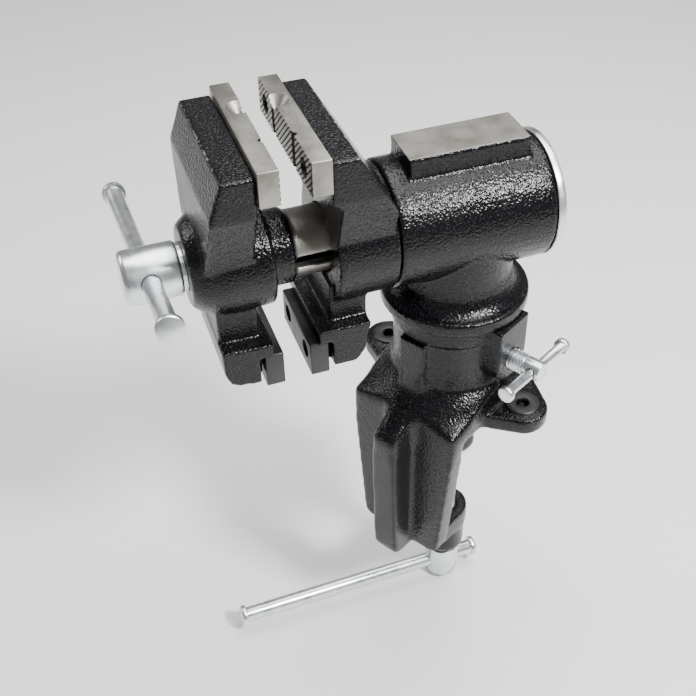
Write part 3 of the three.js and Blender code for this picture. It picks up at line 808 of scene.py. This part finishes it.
bar_turn = bar_axis.to_track_quat("X", "Z").to_matrix().to_4x4()
handle = tommy_bar("spindle_bar", bar_radius, knob_radius, knob_thick, -104 * MM, 53.6 * MM)
finish_zinc(handle, Matrix.Translation(bar_middle) @ bar_turn)
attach(handle, "handle")
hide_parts("handle_bar", "handle_knob")

for node in ("thrust_washer", "screw_collar", "collar_pin"):
    paint_over(frame["nodes"][node], zinc)
paint_over(frame["nodes"]["spindle_nut"], ground_steel)

# ------------------------------------------------------------ end cap
# A zinc-plated steel disc closes the back of the housing and keeps the turning jaw's shank in it.
# Three countersunk screws hold it to the shank.

low, high = head_box("end_cap")
rim = high.x
cap = turned_piece(
    "back_cap",
    [
        (low.y, 0),
        (low.y, rim - 0.5 * MM),
        (low.y + 0.3 * MM, rim - 0.1 * MM),
        (low.y + 0.8 * MM, rim),
        (high.y - 1.1 * MM, rim),
        (high.y - 0.4 * MM, rim - 0.3 * MM),
        (high.y, rim - 1.1 * MM),
        (high.y, 0),
    ],
    steps=128,
)
cap.data.transform(along_spindle)
for number in (1, 2, 3):
    screw = frame["nodes"][f"end_cap_screw_{number}"]
    screw_low, screw_high = head_box(screw.name)
    middle = (screw_low + screw_high) / 2
    hole = (middle.x, high.y, middle.z)
    seat = start_bar(40, 3.5 * MM, 4.6 * MM, hole, along_y)
    through = start_bar(24, 2 * MM, 20 * MM, hole, along_y)
    for cutter in (seat, through):
        only(cutter)
        bpy.ops.object.transform_apply(location=True, rotation=True, scale=True)
        cutter.data.transform(head_turn)
        cut_away(cap, cutter)
    paint_over(screw, zinc)
finish_zinc(cap, on_base)
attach(cap, "fixed_jaw")
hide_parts("end_cap")

# ------------------------------------------------------------ clamp screw, pad and bar
# A long screw comes up through the arm's boss and carries a swivelling pad under the bench.
# Its round head has a cross hole for the longest bar.

screw_low, screw_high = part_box("clamp_screw")
clamp_y = 3 * MM
on_end = Matrix.Rotation(-math.pi / 2, 4, "Y")
upright = Matrix.Translation((0, clamp_y, 0)) @ on_end
head_top = -131 * MM
head_radius = 9.8 * MM
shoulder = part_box("clamp_pad")[0].z - 0.3 * MM
clamp_screw = turned_piece(
    "clamp_screw_head",
    [
        (screw_low.z, 0),
        (screw_low.z, head_radius - 1.6 * MM),
        (screw_low.z + 0.5 * MM, head_radius - 0.7 * MM),
        (screw_low.z + 1.5 * MM, head_radius),
        (head_top - 1.3 * MM, head_radius),
        (head_top - 0.4 * MM, head_radius - 0.4 * MM),
        (head_top, head_radius - 1.2 * MM),
        (head_top, 5.2 * MM),
        (head_top + 1.4 * MM, 5.0 * MM),
        (head_top + 1.4 * MM, 0),
    ],
)
clamp_screw.data.transform(upright)
clamp_axis = Vector(joints["clamp_bar_slide"]["axis"]).normalized()
clamp_middle = Vector((0, clamp_y, -144 * MM))
drill(clamp_screw, 48, bar_hole, 60 * MM, clamp_middle, clamp_axis)
clamp_thread = threaded_rod(
    "clamp_thread", 6 * MM, 4.95 * MM, 1.75 * MM, head_top + 1.0 * MM, shoulder - 1.2 * MM
)
tip_radius = 4.6 * MM
tip = turned_piece(
    "clamp_tip",
    [
        (shoulder - 1.4 * MM, 0),
        (shoulder - 1.4 * MM, 5.2 * MM),
        (shoulder - 0.2 * MM, tip_radius),
        (screw_high.z - 0.6 * MM, tip_radius),
        (screw_high.z, tip_radius - 0.6 * MM),
        (screw_high.z, 0),
    ],
)
for piece in (clamp_thread, tip):
    piece.data.transform(upright)
join(clamp_screw, clamp_thread, tip)
finish_zinc(clamp_screw, on_base)
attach(clamp_screw, "clamp_screw")
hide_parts("clamp_screw")

clamp_turn = Matrix.Rotation(math.atan2(clamp_axis.y, clamp_axis.x), 4, "Z")
clamp_bar = tommy_bar("clamp_tommy_bar", bar_radius, knob_radius, knob_thick, -125 * MM, 19.5 * MM)
finish_zinc(clamp_bar, Matrix.Translation(clamp_middle) @ clamp_turn)
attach(clamp_bar, "clamp_handle")
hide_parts("clamp_bar", "clamp_knob")

paint_over(frame["nodes"]["clamp_pad"], zinc)

# ------------------------------------------------------------ ear seats
# Each ear has a smooth round seat, spot faced and painted satin black, for the head of a wood screw.

ear_x = 42.6 * MM
ear_y = 3.7 * MM
seat_foot = 8.4 * MM
seat_top = 10.6 * MM
hole_radius = 3.1 * MM
for name, side in (("left_ear_seat", -1), ("right_ear_seat", 1)):
    seat = turned_piece(
        name,
        [
            (seat_foot, hole_radius),
            (seat_top - 0.6 * MM, hole_radius),
            (seat_top - 0.1 * MM, hole_radius + 0.4 * MM),
            (seat_top, hole_radius + 0.9 * MM),
            (seat_top, 7.6 * MM),
            (seat_top - 0.15 * MM, 8.1 * MM),
            (seat_top - 0.5 * MM, 8.4 * MM),
            (seat_foot, 8.5 * MM),
            (seat_foot, hole_radius),
        ],
        steps=64,
    )
    only(seat)
    bpy.ops.object.shade_smooth_by_angle(angle=math.radians(35))
    paint_over(seat, satin_black)
    put_on(seat, Matrix.Translation((side * ear_x, ear_y, 0)) @ on_end, "base", "black_steel")

# ------------------------------------------------------------ lock screw and its bar
# A short screw in the lug on the column presses on the swivel's groove and holds the head's turn.
# A few turns of its thread stand clear of the lug, then comes a plain barrel with a small bar.

screw_low, screw_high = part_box("lock_screw")
lock_z = 38.9 * MM
barrel_start = 43.6 * MM
barrel_radius = 5.0 * MM
barrel = turned_piece(
    "lock_screw_barrel",
    [
        (barrel_start, 0),
        (barrel_start, barrel_radius - 0.7 * MM),
        (barrel_start + 0.7 * MM, barrel_radius),
        (screw_high.x - 1.0 * MM, barrel_radius),
        (screw_high.x - 0.3 * MM, barrel_radius - 0.3 * MM),
        (screw_high.x, barrel_radius - 0.9 * MM),
        (screw_high.x, 0),
    ],
    steps=56,
)
lock_bar_x = 49.2 * MM
lock_axis = Vector(joints["lock_bar_slide"]["axis"]).normalized()
lock_bar_radius = 2.5 * MM
drill(barrel, 36, lock_bar_radius + 0.3 * MM, 30 * MM, (lock_bar_x, 0, 0), lock_axis)
lock_thread = threaded_rod(
    "lock_thread", 5.4 * MM, 4.5 * MM, 1.75 * MM, screw_low.x, barrel_start + 0.3 * MM
)
join(barrel, lock_thread)
finish_zinc(barrel, Matrix.Translation((0, 0, lock_z)))
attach(barrel, "lock_screw")
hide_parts("lock_screw")

lock_turn = lock_axis.to_track_quat("X", "Z").to_matrix().to_4x4()
lock_knob = 24.4 * MM
lock_bar = tommy_bar("lock_tommy_bar", lock_bar_radius, 4 * MM, 3 * MM, -lock_knob, lock_knob)
finish_zinc(lock_bar, Matrix.Translation((lock_bar_x, 0, lock_z)) @ lock_turn)
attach(lock_bar, "lock_handle")
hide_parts("lock_bar", "lock_knob")
